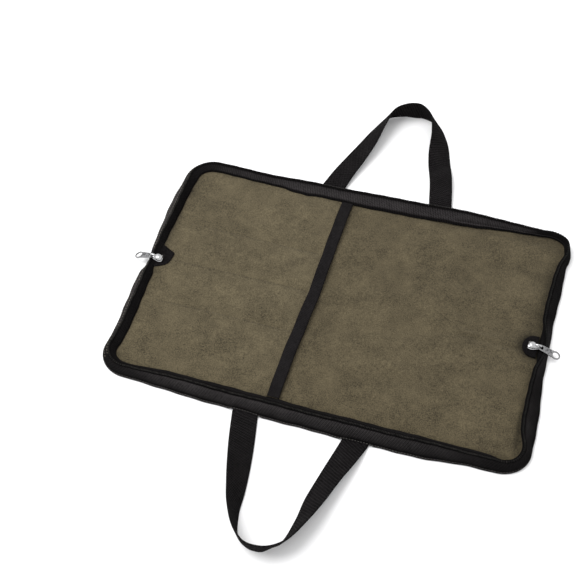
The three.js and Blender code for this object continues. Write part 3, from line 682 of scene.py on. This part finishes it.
# Cover: the olive suede outside of the case, one sheet that runs across the fold. The walls' bound
# edge is sewn over its rim, and it rides over the sewn ends of the straps.
suede_cover = suede_material("olive_suede_cover", suede_tone, tone=False)
gx, gs = np.meshgrid(np.linspace(-205, 205, 120), np.linspace(-1, 1, 90), indexing="ij")
x, y = field_point(gx, gs, 6.5, 6.0)
cover_top, cover_under = 1.45, 0.03
ridge = np.zeros_like(x)
for half, side in side_of.items():
    for leg in strap_legs[half]:
        over_strap = smoothstep(-np.abs(x - leg), -18, -strap_ridge) * smoothstep(side * y, 126, 132)
        ridge = np.maximum(ridge, over_strap)
top = np.stack([x, y, cover_top + 1.4 * ridge], -1)
under = np.stack([x, y, cover_under + 2.2 * ridge], -1)
cover = grid_mesh("cover_suede", top, under, suede_cover)
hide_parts("outer_cover")

# Knife pocket: one sheet of olive suede over the left field, sewn in at the walls and stitched down
# between four slots, which stand a little open at the mouth and flatten towards their closed ends.
slot_line = 54
outer_seam = 131.7
sheet_half = 138.7
slot_edges = [-outer_seam, -slot_line, 0, slot_line, outer_seam]


def slot_shape(share):
    y = share * sheet_half
    out = np.zeros_like(y)
    for a, b in zip(slot_edges[:-1], slot_edges[1:]):
        t = (y - a) / (b - a)
        inside = (t > 0) & (t < 1)
        out = np.where(inside, 1 - np.abs(2 * np.clip(t, 0, 1) - 1) ** 2.6, out)
    return out


def mouth_shift(y):
    return 2.8 * smoothstep(y, -110, 10) - 0.4 * np.exp(-((y - 40) / 14.0) ** 2)


def sheet_under(x, share):
    slot_open = smoothstep(x, -186, -150) * (0.45 + 0.55 * smoothstep(x, -110, -40))
    return lining_top + 0.05 + 1.5 * slot_shape(share) * slot_open


suede_pocket = suede_material("olive_suede_pocket", (0.0720, 0.0590, 0.0350))
columns = np.concatenate([np.linspace(-203, -190, 8)[:-1], np.linspace(-190, -41, 120),
                          [-40.7, -40.3, -36, -31, -29.2]])
shares = np.linspace(-1, 1, 240)
gx, gs = np.meshgrid(columns, shares, indexing="ij")
x, y = field_point(gx, gs, np.where(gx > -40.8, -0.6, 3.0), 3.0)
z = sheet_under(x, gs) + np.where(x > -40.5, 0.9, 0.0)
x = x + mouth_shift(y) * smoothstep(x, -95, -41)
seam_y = gs * sheet_half
for line, depth in ((0, 0.16), (-slot_line, 0.14), (slot_line, 0.08)):
    on_seam = smoothstep(x, -188, -180) * smoothstep(-x, 40.5, 44)
    z = z - depth * np.exp(-((seam_y - line) / 1.1) ** 2) * on_seam
swell = wave(x - 0.5 * y, ((0.14, 76, 0.2),)) + wave(y + 0.2 * x, ((0.12, 53, 2.1),))
swell = np.clip(swell, -0.05, 0.3) * smoothstep(x, -200, -190) * smoothstep(-x, 42, 52)
for start, end, width, height, fade in (
        ((-170, 22), (-120, 20), 5, 0.3, 12.0), ((-150, -90), (-90, -96), 8, 0.35, 12.0),
        ((-130, 100), (-80, 90), 7, 0.3, 12.0), ((-203, 99.5), (-196.5, 102.5), 0.9, -0.4, 4.0)):
    swell = swell + crease(x, y, start, end, width, height, fade)
top = np.stack([x, y, z + 1.0 + swell], -1)
under = np.stack([x, y, z + swell * 0.9], -1)
# Painted shade along the walls and in the stitched slot lines, and a dark line in the far crease
shade = 1 - 0.25 * np.exp(-(field_x - np.abs(x)) / 4) - 0.22 * np.exp(-np.abs(field_y - np.abs(y)) / 4)
for line, depth in ((0, 0.13), (-slot_line, 0.11), (slot_line, 0.04)):
    shade = shade - depth * np.exp(-((seam_y - line) / 1.3) ** 2) * smoothstep(x, -188, -180)
shade = shade + crease(x, y, (-204, 99), (-196.5, 102.5), 1.0, -0.5, 3.0)
seam_thread = thread_material("seam_thread", (0.046, 0.038, 0.024), 900, 0.8, 0.8)
for name, line in (("far", slot_line), ("middle", 0), ("near", -slot_line)):
    column = int(np.argmin(np.abs(shares * sheet_half - line)))
    seam = top[:, column][(columns > -186) & (columns < -41.5)] + [0, 0, 0.05]
    stitch_row("slot_stitches_" + name, seam, np.tile([0.0, 0.0, 1.0], (len(seam), 1)), 1.9, 0.22,
               seam_thread, 1.3)
pocket = grid_mesh("pocket_sheet", top, under, suede_pocket,
                   tone=np.clip(shade, 0.3, 1.1))
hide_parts("knife_pocket")

# Binding: ribbed black tape folded round the mouth of the pocket from wall to wall and sewn through.
# It follows the mouth's slight bow and rides over the open slots.
binding_cloth = woven_material("binding_cloth", (0.0110, 0.0100, 0.0103), 0.0019, 0.0023, 0.0004, 0.8,
                               lean=0.5, contrast=1.2)
shares = np.linspace(-1, 1, 420)
y = field_point(mouth_x, shares, -0.6, 3.0)[1]
low = sheet_under(mouth_x - 6.0, shares)
shift = wave(y, ((0.25, 140, 0.8), (0.15, 47, 2.0)))
left = mouth_x - 12.2 + shift + mouth_shift(y)
right = mouth_x - 0.2 + 0.7 * shift + mouth_shift(y)
soft = wave(y, ((0.12, 21, 0.4), (0.07, 9, 1.0)))
section = [
    (left, low + 0.05), (left + 4, low), (right - 3, low), (right - 0.8, low + 0.05),
    (right - 0.1, low + 0.5), (right, low + 1.3), (right - 0.15, low + 2.3), (right - 0.9, low + 2.85),
    (right - 4, low + 2.95 + soft), (left + 4, low + 2.9 + soft), (left + 0.6, low + 2.75),
    (left, low + 2.4), (left + 0.1, low + 2.05), (left + 4, low + 2.1), (right - 1.1, low + 2.1),
    (right - 0.95, low + 1.4), (right - 1.1, low + 0.8), (left + 4, low + 0.75), (left + 0.3, low + 0.7)]
rings = np.stack([np.stack([a, y, b], -1) for a, b in section], 1)
rings = np.stack([closed_curve(ring, 2) for ring in rings])
binding = ring_mesh("mouth_tape", rings, binding_cloth, flip=True)
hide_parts("pocket_binding")

# Zip tabs: soft lobes of black cloth, sewn down over the ends of the zip at the fold. The left one
# is folded to a blunt point; the right one is round.
tab_cloth = woven_material("tab_cloth", (0.0070, 0.0063, 0.0066), 0.0013, 0.0013, 0.0003, 0.85,
                           lean=0.5, contrast=1.5)
tab_x, tab_y, tab_long, tab_wide = 194.5, -2.2, 10.6, 13.2
tab_angles = np.linspace(-math.pi / 2, math.pi / 2, 17)
tab_arc = [(tab_x - tab_long * math.cos(a), tab_y + tab_wide * math.sin(a)) for a in tab_angles]
tab_outlines = {
    "left": [(-203, 17.2), (-199.2, 15.6), (-196, 13.6), (-192, 11.6), (-188.3, 9.8), (-187.2, 8.2),
             (-187.4, 4), (-188.3, -2), (-189.6, -6.2), (-192.4, -9.2), (-196, -11.4), (-199.2, -12.9),
             (-203, -14.4)],
    "right": [(198.9, -15.6)] + tab_arc + [(198.9, 11.2)]}
tab_middle = {"left": -198.0, "right": 198.0}
for name, low in (("left", 8.3), ("right", 7.0)):
    outline = np.array(tab_outlines[name])
    centre = np.array([tab_middle[name], outline[:, 1].mean()])
    rings = []
    for scale, z in ((0.9, low + 0.05), (0.985, low + 0.25), (1.0, 0.5 * (low + 9.45)), (0.97, 9.2),
                     (0.9, 9.42), (0.6, 9.46), (0.25, 9.48)):
        p = centre + (outline - centre) * scale
        rings.append(np.stack([p[:, 0], p[:, 1], np.full(len(p), z)], -1))
    tab = ring_mesh("zip_tab_cloth_" + name, np.stack(rings), tab_cloth, flip=True)
    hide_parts("zip_tab_" + name)


# Sliders: cast and plated zinc, a tapered body that rides on the coils' ends, with a round dome on
# its top plate and a bridge past its nose that holds the pull. Their zinc is painted brighter than the
# same zinc of the pulls: painted light.
def plated(name, dark, light):
    m, tree, shader = material(name)
    shader.inputs["Metallic"].default_value = 1
    spots = noise(tree, object_coords(tree), 350)
    tree.links.new(math_node(tree, "MULTIPLY_ADD", spots, 0.3, 0.19), shader.inputs["Roughness"])
    middle = (dark + light) / 2
    shine = math_node(tree, "MULTIPLY_ADD", spots, (light - dark) / middle, 1.0)
    colour = scaled_colour(tree, (middle, middle, middle * 1.01), shine)
    tree.links.new(colour, shader.inputs["Base Color"])
    return m


# Painted light: the sliders' zinc is given a brighter colour than the pulls' zinc
slider_metal = plated("slider_zinc", 0.3, 0.62)
half_l = 5.4
slider_seat = 9.8
slider_side = [(-half_l, 2.2), (-half_l + 0.5, 3.2), (-half_l + 1.6, 3.9), (-1.2, 4.1), (1.4, 3.2),
               (half_l - 1.4, 1.9), (half_l, 1.3)]
slider_outline = closed_curve(np.array([(a, -b) for a, b in slider_side] + slider_side[::-1]), 3)
dome_centre = -1.2
# Rings from the foot up: scale, roundness (0 for the body's outline, 1 for the dome's) and height
slider_rings = [
    (0.86, 0, 0.0), (1, 0, 0.15), (1, 0, 0.9), (0.86, 0, 1.1), (0.84, 0, 2.9), (0.98, 0, 3.1),
    (1, 0, 3.35), (0.97, 0.1, 3.6), (0.96, 0.8, 3.85), (0.9, 1, 4.2), (0.8, 1, 4.75),
    (0.64, 1, 5.2), (0.44, 1, 5.5), (0.22, 1, 5.68), (0.05, 1, 5.72)]
bridge_path = np.array([(1.6, 5.15), (3.4, 5.75), (5.4, 5.85), (6.9, 5.4), (7.55, 4.2), (7.55, 1.6),
                        (7.1, 0.6), (5.6, 0.45), (4.0, 0.5)])
bridge_ends = np.concatenate([bridge_path[:1], bridge_path, bridge_path[-1:]])
bridge_line = [curve_between(*bridge_ends[i:i + 4], t)
               for i in range(len(bridge_path) - 1) for t in (0, 0.34, 0.67)]
bridge_line = np.array(bridge_line + [bridge_path[-1]])
bridge_way = np.gradient(bridge_line, axis=0)
bridge_way /= np.linalg.norm(bridge_way, axis=1, keepdims=True)
bridge_thick, bridge_wide = 0.42, 0.9
for name, slider_x, yaw, dome_long in (("left", -201.6, 180.0, 4.6), ("right", 194.6, -4.0, 4.1)):
    around = np.arctan2(slider_outline[:, 1], slider_outline[:, 0] - dome_centre)
    dome = np.stack([np.cos(around) * dome_long + dome_centre, np.sin(around) * 3.9], -1)
    rings = []
    for scale, roundness, z in slider_rings:
        p = slider_outline * (1 - roundness) + dome * roundness
        p = (p - [dome_centre, 0]) * scale + [dome_centre, 0]
        rings.append(np.stack([p[:, 0], p[:, 1], np.full(len(p), z)], -1))
    spin = math.radians(yaw)
    rot = np.array([[math.cos(spin), -math.sin(spin), 0], [math.sin(spin), math.cos(spin), 0], [0, 0, 1]])
    seat = np.array([slider_x, slider_y, slider_seat])
    body = ring_mesh("slider_body_" + name, np.stack(rings) @ rot.T + seat, slider_metal)
    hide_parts("slider_" + name)
    rings = []
    for (along, level), (dx, dz) in zip(bridge_line, bridge_way):
        rings.append([(along - dz * bridge_thick * math.sin(a), bridge_wide * math.cos(a),
                       level + dx * bridge_thick * math.sin(a))
                      for a in np.linspace(0, 2 * math.pi, 12, endpoint=False)])
    ring_mesh("slider_bridge_" + name, np.array(rings) @ rot.T + seat, slider_metal)


# Pulls: cast and plated zinc bars with raised edges, a rough sunk panel and a ring eye. A slot at
# the root goes round the slider's bridge, and the pull turns on it.
def flat_piece(name, outline, holes, thickness, bevel, matrix, body, mat):
    curve = bpy.data.curves.new(name, "CURVE")
    curve.dimensions = "2D"
    curve.fill_mode = "BOTH"
    curve.extrude = (thickness / 2 - bevel) / 1000
    curve.bevel_depth = bevel / 1000
    curve.bevel_resolution = 2
    curve.offset = -bevel / 1000
    for loop in [outline] + holes:
        spline = curve.splines.new("POLY")
        spline.points.add(len(loop) - 1)
        for point, (px, py) in zip(spline.points, loop):
            point.co = (px / 1000, py / 1000, 0, 1)
        spline.use_cyclic_u = True
    source = bpy.data.objects.new(name + "_curve", curve)
    bpy.context.scene.collection.objects.link(source)
    mesh = bpy.data.meshes.new_from_object(source.evaluated_get(bpy.context.evaluated_depsgraph_get()))
    bpy.data.objects.remove(source)
    mesh.name = name
    mesh.transform(matrix)
    mesh.polygons.foreach_set("use_smooth", [False] * len(mesh.polygons))
    mesh.materials.clear()
    mesh.materials.append(mat)
    obj = bpy.data.objects.new(name, mesh)
    bpy.context.scene.collection.objects.link(obj)
    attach(obj, body)
    return obj


eye_x, eye_radius, eye_hole = 17.4, 4.7, 3.3


def arc(radius, start, end, count, endpoint=True):
    angles = np.linspace(start, end, count, endpoint)
    return [(eye_x + radius * math.cos(a), radius * math.sin(a)) for a in angles]


# Painted shade: the pulls' zinc is given a darker colour than the sliders' same zinc
pull_metal = plated("pull_zinc", 0.17, 0.34)
cast, tree, shader = material("cast_zinc")
shader.inputs["Metallic"].default_value = 1
shader.inputs["Roughness"].default_value = 0.5
pits = noise(tree, object_coords(tree), 620, 1, 0.5)
pitted = math_node(tree, "MULTIPLY_ADD", pits, 3.2, 1.0)
tree.links.new(scaled_colour(tree, (0.19, 0.19, 0.195), pitted), shader.inputs["Base Color"])
tree.links.new(bump_node(tree, pits, 0.8, 0.0006).outputs["Normal"], shader.inputs["Normal"])
neck = math.asin(4.15 / eye_radius)
shoulder = eye_x - eye_radius * math.cos(neck) - 0.8
bar = ([(-0.55, -2.9), (0.0, -3.3), (shoulder, -4.1)]
       + arc(eye_radius, -math.pi + neck, math.pi - neck, 30)
       + [(shoulder, 4.1), (0.0, 3.3), (-0.55, 2.9)])
slot_hole = [(0.8, -1.7), (3.25, -1.7), (3.6, -1.35), (3.6, 1.35), (3.25, 1.7), (0.8, 1.7), (0.45, 1.35),
             (0.45, -1.35)]
panel_hole = [(4.9, -2.35), (12.0, -2.95), (12.6, -2.5), (12.6, 2.5), (12.0, 2.95), (4.9, 2.35)]
panel_plate = [(4.7, -2.5), (12.7, -3.15), (12.7, 3.15), (4.7, 2.5)]
pin_z = 12.704
for name, pin, heading, tilt in (("left", (-207.85, -4.0, pin_z), 171.0, 23.0),
                                 ("right", (200.835, -4.436, pin_z), -7.0, 15.0)):
    matrix = (Matrix.Translation(Vector(pin) / 1000) @ Matrix.Rotation(math.radians(heading), 4, "Z")
              @ Matrix.Rotation(math.radians(tilt), 4, "Y"))
    holes = [arc(eye_hole, 0, 2 * math.pi, 32, endpoint=False), slot_hole, panel_hole]
    pull_body = "pull_" + name + "_body"
    rim = flat_piece("pull_bar_" + name, bar, holes, 1.2, 0.2, matrix, pull_body, pull_metal)
    flat_piece("pull_panel_" + name, panel_plate, [], 0.6, 0.08, matrix, pull_body, cast)
    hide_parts("pull_" + name)

# Handles: straps of ribbed black webbing with rolled edges, sewn on between cover and wall. Each
# loop lies flat at the case and stands on its edge towards its top.
webbing_cloth = woven_material("webbing_cloth", (0.0088, 0.0080, 0.0083), 0.0031, 0.0034, 0.0005, 0.8,
                               lean=0.5, contrast=2.0)
loop_half, loop_start, loop_reach = 53.5, 155.0, 135.0
# Columns: place across as a share of loop_half, along as a share of loop_reach, tilt in degrees
handle_rows = {
    "near": [
        (-1.04, 0, 0), (-0.92, 0.21, 14), (-0.81, 0.4, 30), (-0.7, 0.6, 48), (-0.6, 0.78, 68),
        (-0.43, 0.93, 80), (-0.19, 1, 75), (0.06, 1, 74), (0.23, 0.96, 68), (0.39, 0.9, 68),
        (0.56, 0.71, 54), (0.65, 0.54, 37), (0.77, 0.35, 28), (0.92, 0.13, 12), (1, 0, 0)],
    "far": [
        (-1.03, 0, 0), (-0.91, 0.19, -10), (-0.77, 0.37, -18), (-0.63, 0.56, -31), (-0.5, 0.77, -50),
        (-0.35, 0.94, -65), (-0.06, 1.02, -79), (0.16, 1.04, -85), (0.31, 1.04, -78), (0.6, 0.97, -62),
        (0.79, 0.81, -42), (0.92, 0.59, -9), (1.09, 0.34, 13), (1.2, 0.13, 5), (1.26, 0, 0)],
}


def spline_points(points, count):
    n = len(points)
    dense = []
    for i in range(n - 1):
        p1, p2 = points[i], points[i + 1]
        p0 = points[i - 1] if i else 2 * p1 - p2
        p3 = points[i + 2] if i + 2 < n else 2 * p2 - p1
        d0, d1, d2 = (max(np.sum((a - b) ** 2) ** 0.25, 1e-4) for a, b in ((p0, p1), (p1, p2), (p2, p3)))
        m1 = ((p1 - p0) / d0 - (p2 - p0) / (d0 + d1) + (p2 - p1) / d1) * d1
        m2 = ((p2 - p1) / d1 - (p3 - p1) / (d1 + d2) + (p3 - p2) / d2) * d1
        for t in np.linspace(0, 1, 60, endpoint=False):
            dense.append(p1 + m1 * t + (-3 * p1 + 3 * p2 - 2 * m1 - m2) * t**2
                         + (2 * p1 - 2 * p2 + m1 + m2) * t**3)
    dense = np.array(dense + [points[-1]])
    length = travelled(dense)
    where = np.linspace(0, length[-1], count)
    return np.stack([np.interp(where, length, dense[:, k]) for k in range(dense.shape[1])], -1)


kernel = np.hanning(9)
kernel /= kernel.sum()


def smoothed(values):
    return np.convolve(np.pad(values, 4, mode="edge"), kernel, "valid")


half_width, half_thick, edge_inset = 12.5, 0.82, 0.4
lower = [(w, -half_thick + (0.1 if abs(w) > 11 else 0))
         for w in np.linspace(-half_width + edge_inset, half_width - edge_inset, 13)]
upper = [(w, -z) for w, z in lower[::-1]]
edge = [(half_width, -0.3), (half_width, 0.3)]
section = np.array(lower + edge + upper + [(-w, -z) for w, z in edge])
sewn = np.linspace(132.9, 154.6, 14)
for half in ("far", "near"):
    side = side_of[half]
    rows = np.array(handle_rows[half], float)
    points = np.stack([rows[:, 0] * loop_half, loop_start + rows[:, 1] * loop_reach, rows[:, 2]], -1)
    middle = spline_points(points, 330)
    first_end = [(middle[0, 0], v, 0) for v in sewn]
    last_end = [(middle[-1, 0], v, 0) for v in sewn[::-1]]
    middle = np.concatenate([first_end, middle, last_end])
    flat = middle[:, :2]
    way = np.gradient(flat, axis=0)
    way /= np.linalg.norm(way, axis=1, keepdims=True)
    way = np.stack([smoothed(way[:, k]) for k in (0, 1)], -1)
    way /= np.linalg.norm(way, axis=1, keepdims=True)
    tilt = np.radians(smoothed(middle[:, 2]))
    out = np.stack([-way[:, 1], way[:, 0]], -1)
    wide = np.stack([out[:, 0] * np.cos(tilt), out[:, 1] * np.cos(tilt), np.sin(tilt)], -1)
    thick = np.stack([-out[:, 0] * np.sin(tilt), -out[:, 1] * np.sin(tilt), np.cos(tilt)], -1)
    centre_z = half_width * np.abs(wide[:, 2]) + 0.9 * np.abs(thick[:, 2]) + 0.3
    centre = np.concatenate([flat, centre_z[:, None]], 1)
    rings = centre[:, None] + wide[:, None] * section[None, :, :1] + thick[:, None] * section[None, :, 1:]
    rings[..., 1] *= side
    strap = ring_mesh("webbing_" + half, rings, webbing_cloth, flip=(side < 0))
    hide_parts("handle_" + half)
